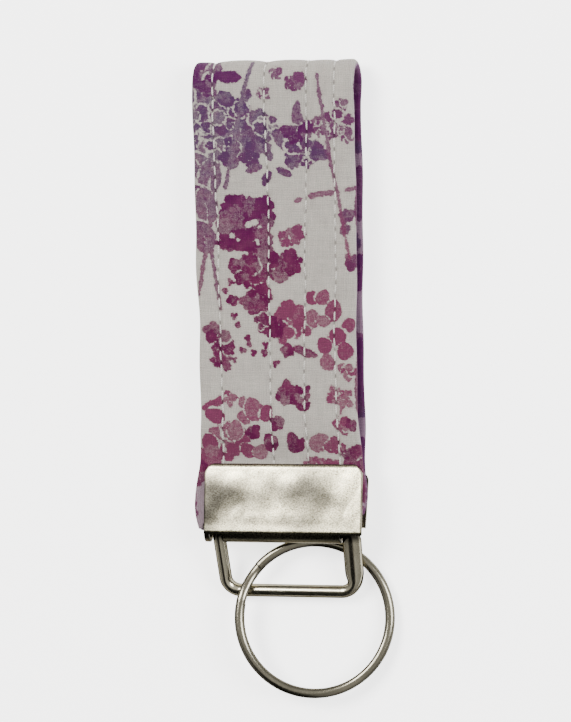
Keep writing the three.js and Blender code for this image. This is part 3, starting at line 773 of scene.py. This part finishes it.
def draw_print(across, along):
    """A generic botanical print: flower heads, stems, leaves and loose petals, in three inks."""
    random = np.random.default_rng(7)
    plum, rose, haze = (Ink(across, along, random, leaves_apart=ink == "rose") for ink in ("plum", "rose", "haze"))

    # The front face, from the fold down to the clamp.
    plum.head(1.8, 77.6, 2.8, 3.2, 2.4, 1.2)
    plum.leaf(4.2, 77.4, 5.4, 2.0, -1.7, 0.15)
    haze.head(0.8, 72.4, 2.4, 3.6, 2.6, 1.1, 0.0, 0.3)
    haze.head(2.0, 66.8, 2.9, 3.9, 2.4, 0.9, 0.0, 0.6)
    haze.head(8.8, 66.2, 4.8, 3.8, 2.8, 1.0, 0.0, 0.25)
    haze.head(6.8, 70.6, 3.0, 2.4, 2.0, 0.7, 0.0, 0.8)
    haze.head(11.4, 63.6, 2.8, 2.6, 2.4, 0.9, 0.0, 0.3)
    haze.head(14.6, 67.0, 1.8, 2.2, 1.5, 0.7, 0.0, 0.7)
    haze.leaf(17.8, 62.4, 4.4, 1.5, 0.55, 0.1)
    haze.leaf(16.0, 64.0, 2.6, 1.2, -0.9)
    haze.petals(9.6, 70.8, 2.4, 5, 0.6)
    haze.petals(6.0, 72.8, 3.4, 5, 0.3)
    haze.petals(10.4, 73.2, 2.6, 5, 0.9)
    haze.head(5.4, 62.6, 3.0, 1.7, 1.8, 0.7, 0.0, 0.7)
    haze.petals(7.6, 60.2, 2.8, 5, 0.2)
    haze.stem(11.4, 79.6, 6.0, 55.0, 0.5, 0.04)
    rose.petals(16.4, 77.4, 3.0, 5, 0.2)
    rose.petals(19.4, 75.4, 3.4, 4, 0.7)
    rose.head(20.6, 76.0, 1.6, 1.0, 1.2, 0.9)
    rose.petals(13.6, 73.6, 3.0, 5, 0.5)
    plum.leaf(22.2, 64.8, 7.6, 2.2, 0.22, -0.45)
    plum.head(20.4, 66.0, 2.2, 1.7, 1.6, 1.1)
    rose.petals(29.2, 71.2, 3.2, 5, 0.1)
    rose.head(28.0, 67.2, 3.6, 2.1, 1.7, 0.8, 0.0, 0.75)
    rose.petals(30.4, 64.8, 3.0, 5, 0.8)
    rose.petals(25.2, 66.4, 3.2, 5, 0.4)
    rose.stem(24.6, 77.0, 30.6, 41.0, 0.46, 0.04)
    haze.head(21.8, 62.0, 3.4, 2.2, 1.7, 0.75, 0.3, 0.8)
    haze.petals(25.6, 61.4, 2.8, 5, 0.5)
    haze.petals(19.2, 60.0, 3.0, 4, 0.1)
    for foot_x, foot_y, turn in ((13.2, 59.4, 1.9), (14.8, 58.4, 2.7), (16.2, 58.8, -2.0), (15.0, 60.4, 0.4)):
        haze.leaf(foot_x, foot_y, 3.4, 1.5, turn)
    rose.stem(22.8, 53.3, 27.2, 54.0, 0.95)
    rose.stem(19.8, 52.4, 20.8, 52.8, 0.7)
    rose.stem(29.8, 54.4, 32.0, 54.8, 0.6)
    for foot, turn, length in ((57.0, 0.5, 5.6), (54.0, -0.15, 7.0), (51.4, 0.75, 5.6), (48.0, 0.1, 7.4),
                               (45.0, 0.9, 5.0), (42.4, 0.3, 6.6)):
        haze.leaf(2.4, foot, length, 4.2, turn, 0.15, 0.18)
    haze.stem(4.8, 60.0, 1.0, 36.0, 0.42)
    haze.stem(3.0, 44.0, 4.6, 31.0, 0.40)
    haze.stem(2.6, 44.0, 0.4, 34.0, 0.36)
    plum.head(9.8, 49.6, 4.6, 3.0, 2.6, 1.3, 0.0, 0.0)
    plum.head(7.4, 46.8, 2.4, 3.4, 2.4, 1.2, 0.0, 0.05)
    plum.head(12.2, 45.4, 2.0, 4.0, 2.2, 1.2, 0.0, 0.05)
    plum.leaf(4.4, 45.6, 7.8, 2.2, -1.95)
    for x, y, size in ((10.4, 47.8, 0.8), (11.6, 48.2, 0.9), (12.4, 47.4, 0.5), (7.0, 45.6, 0.7), (8.2, 44.8, 0.4)):
        plum.island(x, y, size, size * 0.8)
    plum.head(14.4, 39.6, 5.0, 2.1, 2.4, 1.2)
    plum.head(17.8, 40.2, 2.4, 1.5, 1.8, 1.1)
    plum.petals(7.6, 39.8, 3.0, 5, 0.6)
    plum.petals(9.0, 37.4, 3.2, 5, 0.1)
    plum.head(12.4, 33.2, 2.5, 2.6, 2.4, 1.2)
    plum.petals(7.0, 33.0, 2.8, 4, 0.4)
    rose.head(18.8, 45.2, 2.4, 1.5, 1.6, 1.1, 0.15)
    haze.petals(30.0, 49.4, 3.4, 5, 0.2)
    haze.petals(29.6, 46.6, 2.6, 4, 0.7)
    haze.petals(31.0, 40.2, 3.4, 5, 0.5)
    rose.head(18.6, 28.8, 3.0, 3.0, 3.0, 1.3)
    plum.head(14.6, 28.0, 2.6, 1.5, 2.0, 1.2)
    plum.leaf(16.8, 25.4, 4.0, 1.7, 0.5)
    rose.leaf(24.0, 32.2, 3.0, 2.6, 0.75)
    rose.leaf(24.4, 32.0, 3.2, 2.6, -0.45)
    rose.leaf(23.2, 27.2, 4.0, 2.6, 0.05)
    rose.leaf(27.0, 28.6, 4.4, 3.2, -0.15)
    rose.leaf(26.6, 28.2, 3.0, 2.0, 1.2)
    rose.leaf(29.8, 26.6, 3.0, 2.6, -0.5)
    rose.leaf(28.8, 26.8, 3.2, 2.4, 2.2)
    rose.leaf(29.6, 24.6, 3.6, 3.4, 0.9)
    rose.leaf(30.2, 24.4, 3.6, 3.2, 2.8)
    rose.leaf(26.4, 22.6, 3.4, 2.8, 0.6)
    rose.leaf(25.2, 22.0, 3.4, 2.8, -2.6)
    rose.leaf(22.4, 25.8, 2.2, 1.8, 0.4)
    plum.leaf(19.0, 23.6, 5.4, 1.7, -1.9, 0.08)
    plum.petals(18.2, 22.9, 3.0, 5, 0.2)
    rose.petals(30.0, 19.0, 3.6, 5, 0.9)
    plum.petals(3.0, 26.8, 4.4, 5, 0.2)
    plum.head(5.0, 22.6, 1.4, 3.0, 1.6, 0.9)
    for x, y in ((7.2, 29.8), (8.0, 28.0), (6.4, 22.6), (7.4, 21.2), (9.0, 23.0), (10.2, 24.2), (11.2, 22.6),
                 (13.4, 22.4), (10.0, 25.4), (15.6, 20.4), (5.6, 34.8), (6.8, 36.4), (13.6, 24.2)):
        plum.petals(x, y, 1.6, 3, x)
    plum.petals(18.0, 14.4, 5.0, 7, 0.2)
    plum.head(18.0, 14.2, 1.4, 1.4, 1.5, 1.2)
    for foot in (11.2, 12.8, 14.4):
        plum.leaf(21.0, foot, 2.2, 1.2, -0.7)
        plum.leaf(20.9, foot, 2.2, 1.2, 0.7)
    rose.spray(28.6, 8.0, 0.05, 6.4, 1.0)
    rose.petals(28.6, 8.4, 3.6, 6, 0.4)
    rose.leaf(0.4, 11.4, 6.6, 1.7, -1.1, 0.1)
    rose.petals(6.0, 13.4, 3.0, 4, 0.3)
    rose.petals(8.4, 13.0, 2.2, 4, 0.9)
    rose.leaf(5.0, 9.4, 4.2, 2.8, 1.2)
    rose.leaf(8.0, 9.0, 3.0, 2.8, -0.9)
    rose.leaf(9.0, 11.6, 2.2, 2.0, 0.2)
    rose.leaf(11.8, 9.2, 4.8, 3.6, 0.35)
    rose.leaf(13.0, 9.0, 3.4, 2.4, -0.3)
    rose.head(5.4, 4.8, 3.0, 2.6, 2.8, 1.2, 0.0, 0.5)
    rose.leaf(6.8, 5.6, 3.8, 3.0, -0.2)
    rose.leaf(2.6, 2.8, 4.2, 3.0, 0.3)
    plum.petals(10.6, 7.0, 3.2, 5, 0.3)
    plum.petals(15.6, 8.8, 3.4, 5, 0.1)
    plum.petals(14.2, 5.0, 3.8, 5, 0.5)
    rose.leaf(10.4, 1.8, 3.6, 2.8, 0.6)
    rose.leaf(10.8, 1.6, 3.6, 2.8, -0.7)
    plum.leaf(18.8, 2.8, 4.4, 2.6, 0.1)
    plum.leaf(19.4, 3.0, 3.2, 1.6, -0.4)
    rose.leaf(22.0, 3.6, 4.6, 3.4, -0.9)
    rose.leaf(24.6, 4.0, 4.4, 2.6, -1.5)
    rose.head(27.0, 4.2, 1.6, 1.2, 1.4, 1.0)
    rose.head(1.4, 1.4, 2.6, 1.8, 2.0, 0.9)
    plum.head(30.4, 1.8, 1.9, 1.8, 1.6, 1.0)
    plum.petals(30.4, 8.6, 2.8, 4, 0.4)
    rose.head(24.0, 0.6, 3.4, 0.7, 1.0, 0.8)

    # The cloth inside the clamp, seen only where it bulges out past the clamp's ends.
    plum.head(0.4, -1.6, 1.2, 1.8, 1.4, 1.0)
    haze.head(-0.6, -6.4, 0.8, 1.6, 1.0, 0.7)
    plum.head(31.0, -4.0, 2.4, 4.4, 2.0, 1.0)

    # The back of the strap repeats the same kinds of motif.
    for _ in range(34):
        x, y = random.uniform(0, 32), random.uniform(84, 180)
        ink = (plum, rose, haze)[random.integers(0, 3)]
        ink.head(x, y, random.uniform(1.8, 5.2), random.uniform(1.6, 4.2), random.uniform(1.4, 2.8), 0.95)
    for _ in range(9):
        x, y = random.uniform(3, 29), random.uniform(86, 170)
        (rose, haze)[random.integers(0, 2)].spray(x, y, random.uniform(-0.7, 0.7), random.uniform(7, 12), 1.2)
    for _ in range(12):
        plum.leaf(random.uniform(1, 31), random.uniform(84, 178), random.uniform(4, 8), random.uniform(1.6, 3.2),
                  random.uniform(-1.2, 1.2), 0.25)

    # The lining face and the edges carry larger, denser shapes of the same print.
    for foot, length, width in ((-4.0, 7.0, 3.0), (9.0, 14.0, 3.4), (46.0, 11.0, 3.2), (62.0, 5.0, 1.6), (71.0, 9.0, 2.4)):
        plum.leaf(33.2, foot, length, width, 0.0)
        plum.leaf(33.2, 160 - foot, length, width, math.pi)
    for _ in range(56):
        x, y = random.uniform(38, 64), random.uniform(-6, 186)
        (plum, haze)[random.integers(0, 2)].head(x, y, random.uniform(3, 6), random.uniform(3, 7), 3.0, 1.0)
    tone = np.where(plum.field > -0.1, plum.tone, np.where(rose.field > -0.1, rose.tone, haze.tone))
    return plum.field, rose.field, haze.field, tone


# ---------------------------------------------------------------- strap

OUTER_STEP = 0.27
INNER_STEP = 0.8
FRONT_STEP = 0.27
BACK_STEP = 0.42
EDGE_STEPS = 7
EDGE_ROUND = 0.75
EDGE_ARC = 2.4


def cross_section():
    """Places round the strap's section: across, side of the centre line, and distance round it from the left."""
    flat = STRAP_WIDTH / 2 - EDGE_ROUND
    outer = np.linspace(-flat, flat, round(2 * flat / OUTER_STEP))
    inner = np.linspace(flat, -flat, round(2 * flat / INNER_STEP))
    turn = np.linspace(90, -90, EDGE_STEPS + 2)[1:-1] * math.pi / 180
    round_edge = np.linspace(0, EDGE_ARC, EDGE_STEPS + 2)[1:-1]
    u = np.concatenate([outer, flat + EDGE_ROUND * np.cos(turn), inner, -flat - EDGE_ROUND * np.cos(turn)])
    side = np.concatenate([np.ones(len(outer)), np.sin(turn), -np.ones(len(inner)), -np.sin(turn)])
    right = 2 * flat + EDGE_ROUND
    around = np.concatenate([outer + flat + EDGE_ROUND, right + round_edge, right + EDGE_ARC + flat - inner,
                             EDGE_ROUND - EDGE_ARC + round_edge])
    return u, side, around


def make_casing():
    u, side, around = cross_section()
    back = np.linspace(0, band.tip, round(band.tip / BACK_STEP))
    front = np.linspace(band.tip, band.length, round((band.length - band.tip) / FRONT_STEP))
    s = np.concatenate([back[:-1], front])
    uu, ss = np.meshgrid(u, s)
    side_grid = np.broadcast_to(side, uu.shape)
    outer = quilt(uu, ss, 1)
    inner = quilt(uu, ss, -1)
    height = np.where(side_grid > 0, outer, inner) * side_grid
    points = on_band(uu, ss, height)
    piece = make_object("quilted_casing", points.reshape(-1, 3), grid_faces(len(s), len(u), wrap_columns=True))

    along = band.from_mouth(ss)
    across = np.broadcast_to(around, uu.shape)
    plum, rose, haze, tone = draw_print(across, along)
    # Distance to the nearest needle hole, which sets the painted shade round the holes.
    nearest, _ = hole_distance(uu, ss)
    # Painted shade: the cloth inside the clamp's jaws takes three quarters of the darker lining colour.
    in_jaws = smoothstep(0.0, -4.0, np.minimum(along, ss - band.back_mouth))
    for name, values in (("across", across), ("along", along), ("ink_plum", plum), ("ink_rose", rose),
                         ("ink_haze", haze), ("tone", tone), ("hole", nearest), ("lining_and_shade", np.maximum(side_grid < 0.3, 0.75 * in_jaws))):
        add_attribute(piece, name, values.ravel())

    thick = piece.modifiers.new("cloth", "SOLIDIFY")
    thick.thickness = CLOTH * MM
    thick.offset = -1
    bake_modifiers(piece)
    finish_piece(piece, COTTON, "strap_and_clamp", "printed_cotton", "outer_fabric")
    return piece


def make_fleece():
    half_width = STRAP_WIDTH / 2 - 1.3
    count = 30
    flat = np.linspace(-half_width, half_width, count)
    u = np.concatenate([flat, flat[::-1]])
    side = np.concatenate([np.ones(count), -np.ones(count)])
    rows = round(band.length / 1.3)
    s = np.linspace(0, band.length, rows)
    uu, ss = np.meshgrid(u, s)
    side_grid = np.broadcast_to(side, uu.shape)
    taper = 1 - smoothstep(half_width - 1.5, half_width + 0.2, np.abs(uu))
    inside = np.where(side_grid > 0, quilt(uu, ss, 1), quilt(uu, ss, -1)) - CLOTH - 0.08
    points = on_band(uu, ss, np.maximum(inside, 0.08) * side_grid * (0.35 + 0.65 * taper))
    columns = len(u)
    faces = grid_faces(rows, columns, wrap_columns=True)
    for first in (0, (rows - 1) * columns):
        ring = [first + i for i in range(columns)]
        faces.append(ring if first else ring[::-1])
    piece = make_object("fleece_interlining", points.reshape(-1, 3), faces)
    finish_piece(piece, FLEECE, "strap_and_clamp", "fleece", "fleece_core")


def make_stitch_row(row, face):
    """One row of single stitches, each dipping into the needle holes at its ends."""
    sides, stations = 8, 9
    start = row * 0.9 + (0 if face > 0 else 0)
    first = math.ceil((1.0 - start) / STITCH_PITCH)
    last = math.floor((band.length - 1.0 - start) / STITCH_PITCH)
    points, faces, along, around = [], [], [], []
    random = np.random.default_rng(100 + row * 2 + (face > 0))
    t = np.linspace(0, 1, stations)
    for index in range(first, last):
        begin = start + index * STITCH_PITCH
        s = begin + STITCH_INSET + t * (STITCH_PITCH - 2 * STITCH_INSET)
        slant = random.uniform(-0.05, 0.05)
        u = row_place(row, s) + slant * (t - 0.5) * 2
        arch = np.sin(math.pi * t) ** 0.5
        height = quilt(u, s, face, holes=False) + arch * (STITCH_DIP + THREAD_RADIUS * 0.6) - STITCH_DIP
        centres = on_band(u, s, height * face)
        above = on_band(u, s, (height + 0.2) * face)
        tangent = np.gradient(centres, axis=0)
        tangent /= np.linalg.norm(tangent, axis=1)[:, None]
        up = above - centres
        side = np.cross(tangent, up)
        side /= np.linalg.norm(side, axis=1)[:, None]
        up = np.cross(side, tangent)
        radius = THREAD_RADIUS * (0.55 + 0.45 * np.sin(math.pi * t) ** 0.4) * random.uniform(0.93, 1.06)
        tube, tube_faces = sweep(centres, side, up, radius * 1.08, radius * 0.9, sides=sides)
        offset = len(points) * sides * stations
        points.append(tube)
        faces += [[i + offset for i in face_] for face_ in tube_faces]
        along.append(np.repeat(s, sides))
        around.append(np.tile(np.arange(sides) * 2 * math.pi / sides, stations))
    name = f"{'needle' if face > 0 else 'bobbin'}_thread_{row + 1}"
    piece = make_object(f"{name}_stitches", np.concatenate(points), faces)
    add_attribute(piece, "thread_along", np.concatenate(along))
    add_attribute(piece, "thread_around", np.concatenate(around))
    finish_piece(piece, THREAD, "strap_and_clamp", "thread", name)


make_casing()
make_fleece()
for stitch_row in range(len(ROW_COURSES)):
    make_stitch_row(stitch_row, 1)
    make_stitch_row(stitch_row, -1)

# ---------------------------------------------------------------- clamp


def clamp_profile():
    """The sheet's middle line from the front lip round the fold to the back lip, with the fold's angle."""
    bend = 0.55
    lip_s = CLAMP_LENGTH - SHEET / 2
    bend_s = lip_s - bend
    jaw_end = jaw_height(FOLD_RADIUS, bend_s)
    quarter = np.linspace(0, 90, 7)[1:] * math.pi / 180
    tip = LIP_HALF_GAP
    front = []
    for n in np.linspace(tip, jaw_end - bend, 4)[:-1]:
        front.append((lip_s, n, 999.0))
    for angle in quarter[::-1]:
        front.append((bend_s + bend * math.sin(angle), jaw_end - bend + bend * math.cos(angle), 999.0))
    for s in np.concatenate([np.linspace(bend_s, bend_s - 1.6, 9)[:-1], np.linspace(bend_s - 1.6, 0.4, 28)]):
        front.append((s, jaw_height(FOLD_RADIUS, s), 999.0))
    angles = np.linspace(84, -84, 57).tolist()
    slot_edges = [math.radians(a) for a in SLOT_ANGLES]
    fold = [(-FOLD_RADIUS * math.cos(math.radians(a)), FOLD_RADIUS * math.sin(math.radians(a)), a) for a in angles]
    back = [(s, -n, -999.0) for s, n, _ in front[::-1]]
    assert slot_edges[0] < slot_edges[1]
    return front + fold + back


def make_clamp():
    half = CLAMP_WIDTH / 2
    profile = clamp_profile()
    breaks = [-half, LEFT_SLOT[0], LEFT_SLOT[1], RIGHT_SLOT[0], half]
    steps = [6, 12, 84, 18]
    columns = np.concatenate([np.linspace(a, b, n, endpoint=False) for a, b, n in zip(breaks, breaks[1:], steps)]
                             + [[half]])
    corner_start = CLAMP_LENGTH - CORNER_RADIUS
    points, faces, dent_reflection, reflection_and_shade_band, rim = [], [], [], [], []
    tooth_pitch = CLAMP_WIDTH / 16
    for index, (s, n, fold_angle) in enumerate(profile):
        past = min(max(s + SHEET / 2 - corner_start, 0), CORNER_RADIUS)
        edge = half - CORNER_RADIUS + math.sqrt(max(CORNER_RADIUS ** 2 - past ** 2, 0))
        from_end = min(index, len(profile) - 1 - index)
        band_shade = float(smoothstep(86, 75, fold_angle) * smoothstep(-84, -70, fold_angle)) if abs(fold_angle) < 90 else 0.0
        for x in columns:
            depth = n
            if from_end < 3:
                phase = (x / tooth_pitch) % 1
                cut = 0.42 * abs(phase * 2 - 1) * (3 - from_end) / 3
                depth = n + math.copysign(cut, n)
            press = sum(depth_ * math.exp(-((x - cx) / wx) ** 2 - ((s - cs) / ws) ** 2)
                        for cx, cs, wx, ws, depth_ in DENTS)
            press = (1 - math.exp(-press)) * (n > 0 and from_end > 8)
            # Where dark reflections are painted on the front plate's dents.
            dent_reflection.append(press)
            # Painted dark reflection round the fold; painted shade on the back jaw near the clamp's ends.
            reflection_and_shade_band.append(band_shade if n > 0 or s < 0 else 0.8 * float(smoothstep(half - 1.6, half - 0.8, abs(x))))
            # Distance to the plate's ends and mouth, which sets the painted shade along the edges.
            rim.append(min(half - abs(x), CLAMP_LENGTH - SHEET / 2 - s if n > 0 else 9.0))
            wave = 0.03 * math.sin(x * 0.55 + 0.6) * math.sin(s * 0.5) + 0.02 * math.sin(x * 1.1 - s * 0.4)
            inner = smoothstep(0.5, 3, s) * smoothstep(0, 2, CLAMP_LENGTH - SHEET - s)
            depth += math.copysign((wave - 0.20 * press) * float(inner), n)
            y, z = in_clamp(s, depth)
            points.append((x * edge / half, y, z))
    count = len(columns)
    middle = (columns[1:] + columns[:-1]) / 2
    in_slot = ((middle > LEFT_SLOT[0]) & (middle < LEFT_SLOT[1])) | (middle > RIGHT_SLOT[0])
    for r in range(len(profile) - 1):
        angle = (profile[r][2] + profile[r + 1][2]) / 2
        s_here = (profile[r][0] + profile[r + 1][0]) / 2
        back_side = profile[r][1] < 0
        cut_fold = SLOT_ANGLES[0] < angle < SLOT_ANGLES[1]
        cut_jaw = back_side and abs(angle) > 200 and s_here < SLOT_END
        for c in range(count - 1):
            if in_slot[c] and (cut_fold or cut_jaw):
                continue
            a = r * count + c
            faces.append([a, a + 1, a + count + 1, a + count])
    piece = make_object("clamp_sheet", points, faces)
    add_attribute(piece, "dent_reflection", dent_reflection)
    add_attribute(piece, "reflection_and_shade_band", reflection_and_shade_band)
    add_attribute(piece, "rim", rim)
    mesh = bmesh.new()
    mesh.from_mesh(piece.data)
    loose = [v for v in mesh.verts if not v.link_faces]
    bmesh.ops.delete(mesh, geom=loose, context="VERTS")
    bmesh.ops.recalc_face_normals(mesh, faces=mesh.faces)
    mesh.to_mesh(piece.data)
    mesh.free()
    thick = piece.modifiers.new("sheet", "SOLIDIFY")
    thick.thickness = SHEET * MM
    thick.offset = 0
    thick.use_even_offset = True
    round_off = piece.modifiers.new("edge", "BEVEL")
    round_off.width = 0.14 * MM
    round_off.segments = 3
    round_off.limit_method = "ANGLE"
    round_off.angle_limit = math.radians(50)
    bake_modifiers(piece)
    piece.data.polygons.foreach_set("use_smooth", [True] * len(piece.data.polygons))
    weighted = piece.modifiers.new("normals", "WEIGHTED_NORMAL")
    weighted.keep_sharp = False
    bake_modifiers(piece)
    finish_piece(piece, SATIN, "strap_and_clamp", "satin_nickel", "crimp_clamp")


make_clamp()

# ---------------------------------------------------------------- wire loop

LOOP_REACH = np.array([bar_axis[1] - fold_axis[1], bar_axis[2] - fold_axis[2]])
LOOP_LENGTH = float(np.linalg.norm(LOOP_REACH))


def in_loop(x, t):
    """(x, t) in the loop's plane, with t from the fold's axis towards the bar."""
    x, t = np.broadcast_arrays(np.asarray(x, float), np.asarray(t, float))
    return np.stack([x, FOLD[0] + LOOP_REACH[0] * t / LOOP_LENGTH, FOLD[1] + LOOP_REACH[1] * t / LOOP_LENGTH], -1)


def rounded_line(corners, radii, spacing):
    """An evenly spaced line through corners, each rounded by a circle's arc."""
    pieces = [np.array([corners[0]], float)]
    for before, corner, after, radius in zip(corners, corners[1:], corners[2:], radii):
        a = np.array(before, float) - corner
        b = np.array(after, float) - corner
        a, b = a / np.linalg.norm(a), b / np.linalg.norm(b)
        half_angle = math.acos(np.clip(a @ b, -1, 1)) / 2
        cut = radius / math.tan(half_angle)
        centre = np.array(corner) + (a + b) / np.linalg.norm(a + b) * radius / math.sin(half_angle)
        start, end = np.array(corner) + a * cut - centre, np.array(corner) + b * cut - centre
        sweep_angle = math.pi - 2 * half_angle
        t = np.linspace(0, 1, 24)[:, None]
        arc = (np.sin((1 - t) * sweep_angle) * start + np.sin(t * sweep_angle) * end) / math.sin(sweep_angle)
        pieces.append(centre + arc)
    pieces.append(np.array([corners[-1]], float))
    line = np.concatenate(pieces)
    distance = np.concatenate([[0], np.cumsum(np.linalg.norm(np.diff(line, axis=0), axis=1))])
    even = np.linspace(0, distance[-1], round(distance[-1] / spacing))
    return np.stack([np.interp(even, distance, line[:, i]) for i in range(2)], 1)


def make_wire_loop():
    corners = [(-WIRE_END_GAP, 0), (LEFT_LEG_TOP, 0), (LEFT_LEG_FOOT, LOOP_LENGTH), (RIGHT_LEG, LOOP_LENGTH),
               (RIGHT_LEG, 0), (WIRE_END_GAP, 0)]
    line = rounded_line(corners, (0.9, 2.9, 2.9, 0.9), 0.2)
    centres = in_loop(line[:, 0], line[:, 1])
    tangent = np.gradient(centres, axis=0)
    tangent /= np.linalg.norm(tangent, axis=1)[:, None]
    flat_normal = np.cross([1, 0, 0], [0, *LOOP_REACH])
    flat_normal = -flat_normal / np.linalg.norm(flat_normal)
    up = np.broadcast_to(flat_normal, centres.shape)
    side = np.cross(tangent, up)
    on_right = smoothstep(RIGHT_LEG - 3.2, RIGHT_LEG - 1.2, line[:, 0])
    t = line[:, 1]
    swell = smoothstep(0.0, 1.6, t) * (1 - smoothstep(LOOP_LENGTH - 4.5, LOOP_LENGTH - 0.6, t)) * on_right
    widths = WIRE_RADIUS * (1 + RIGHT_LEG_WIDENING * swell)
    heights = np.full(len(line), WIRE_RADIUS)
    for end in (0, -1):
        widths[end] *= 0.85
        heights[end] *= 0.85
    points, faces = sweep(centres, side, up, widths, heights, power=2.0, sides=40)
    piece = make_object("wire_loop_bent", points, faces)
    # Painted shade on the wire's ends inside the clamp's fold.
    inside_fold = 1 - smoothstep(0.6, 2.4, line[:, 1])
    add_attribute(piece, "dullness_and_shade", np.repeat(inside_fold, len(points) // len(line)))
    finish_piece(piece, POLISHED, "loop", "polished_nickel", "wire_loop")


make_wire_loop()

# ---------------------------------------------------------------- split ring


def make_split_ring():
    reach = 2 * math.pi - CROSSOVER_HALF - COIL_END_GAP
    radius = (RING_DIAMETER - COIL_WIDTH) / 2
    chamfer = COIL_CHAMFER / radius
    angle = np.concatenate([[-reach], np.linspace(-reach + chamfer, reach - chamfer, 720), [reach]])
    climb = smoothstep(-CROSSOVER_HALF, CROSSOVER_HALF, angle) - 0.5
    around = CROSSOVER_ANGLE + angle
    flat = np.stack([radius * np.cos(around), radius * np.sin(around), COIL_PITCH * climb], 1)
    radial = np.stack([np.cos(around), np.sin(around), np.zeros_like(around)], 1)
    axial = np.broadcast_to([0.0, 0.0, 1.0], flat.shape)
    slope = RING_RISE / radius
    high = Vector((math.cos(RING_HIGH_SIDE), math.sin(RING_HIGH_SIDE), 0))
    normal = (Vector((0, 0, 1)) - slope * high).normalized()
    tilt = np.array(Vector((0, 0, 1)).rotation_difference(normal).to_matrix())
    centres = flat @ tilt.T + [RING_X, RING_Y, RING_Z]
    widths = np.full(len(angle), COIL_WIDTH / 2)
    heights = np.full(len(angle), COIL_HEIGHT / 2)
    for end in (0, -1):
        widths[end] *= 0.86
        heights[end] *= 0.82
    points, faces = sweep(centres, radial @ tilt.T, axial @ tilt.T, widths, heights, power=2.1, sides=32)
    piece = make_object("split_ring_coil", points, faces)
    add_attribute(piece, "dullness_and_shade", np.full(len(points), RING_DULLNESS))
    finish_piece(piece, POLISHED, "ring", "polished_nickel", "split_ring")


make_split_ring()

# ---------------------------------------------------------------- stage

FLOOR_TONE = (0.93, 0.93, 0.935)
FLOOR_GLOW = 2.2


def make_stage():
    mesh = bpy.data.meshes.new("floor")
    reach = 3.0
    mesh.from_pydata([(-reach, -reach, 0), (reach, -reach, 0), (reach, reach, 0), (-reach, reach, 0)], [], [(0, 1, 2, 3)])
    floor = bpy.data.objects.new("floor", mesh)
    floor.location.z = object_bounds()[0][2] - 0.00003
    bpy.context.scene.collection.objects.link(floor)
    shader = Shader("floor")
    shader.set(Base_Color=FLOOR_TONE, Roughness=0.9, Emission_Color=FLOOR_TONE, Emission_Strength=FLOOR_GLOW)
    mesh.materials.append(shader.material)

    world = bpy.data.worlds.new("studio")
    bpy.context.scene.world = world
    world.use_nodes = True
    nodes, links = world.node_tree.nodes, world.node_tree.links
    direction = nodes.new("ShaderNodeTexCoord").outputs["Generated"]
    axes = nodes.new("ShaderNodeSeparateXYZ")
    links.new(direction, axes.inputs[0])

    def step(value, low, high, to_low=0.0, to_high=1.0):
        node = nodes.new("ShaderNodeMapRange")
        node.interpolation_type = "SMOOTHSTEP"
        links.new(value, node.inputs["Value"])
        for key, number in (("From Min", low), ("From Max", high), ("To Min", to_low), ("To Max", to_high)):
            node.inputs[key].default_value = number
        return node.outputs[0]

    def product(a, b):
        node = nodes.new("ShaderNodeMath")
        node.operation = "MULTIPLY"
        links.new(a, node.inputs[0])
        links.new(b, node.inputs[1])
        return node.outputs[0]

    # Bright overhead, dimmer towards the horizon, with a dark upright shape on the ring's side.
    overhead = step(axes.outputs["Z"], 0.50, 0.98, 0.75, 1.25)
    right_side = step(axes.outputs["X"], -0.04, 0.16)
    left_side = step(axes.outputs["X"], -0.42, -0.60)
    far_side = step(axes.outputs["Y"], -0.14, 0.02)
    outside = nodes.new("ShaderNodeMath")
    outside.operation = "MAXIMUM"
    links.new(right_side, outside.inputs[0])
    links.new(left_side, outside.inputs[1])
    clear = nodes.new("ShaderNodeMath")
    clear.operation = "MAXIMUM"
    links.new(outside.outputs[0], clear.inputs[0])
    links.new(far_side, clear.inputs[1])
    shadow = step(clear.outputs[0], 0.0, 1.0, 0.03, 1.0)
    links.new(product(overhead, shadow), nodes["Background"].inputs["Strength"])
    nodes["Background"].inputs["Color"].default_value = (1.0, 0.985, 0.95, 1)

    def area_light(name, place_, aim, size, power, colour):
        data = bpy.data.lights.new(name, "AREA")
        data.shape = "RECTANGLE"
        data.size, data.size_y = size
        data.energy = power
        data.color = colour
        light = bpy.data.objects.new(name, data)
        bpy.context.scene.collection.objects.link(light)
        light.location = place_
        light.rotation_euler = (Vector(aim) - Vector(place_)).to_track_quat("-Z", "Y").to_euler()

    area_light("key", (-0.38, 0.30, 0.80), (0, 0, 0), (0.40, 0.40), 15.5, (1.0, 0.98, 0.95))
    area_light("fill", (0.65, 0.1, 0.65), (0, 0, 0), (0.35, 0.45), 11.0, (0.97, 0.98, 1.0))


make_stage()
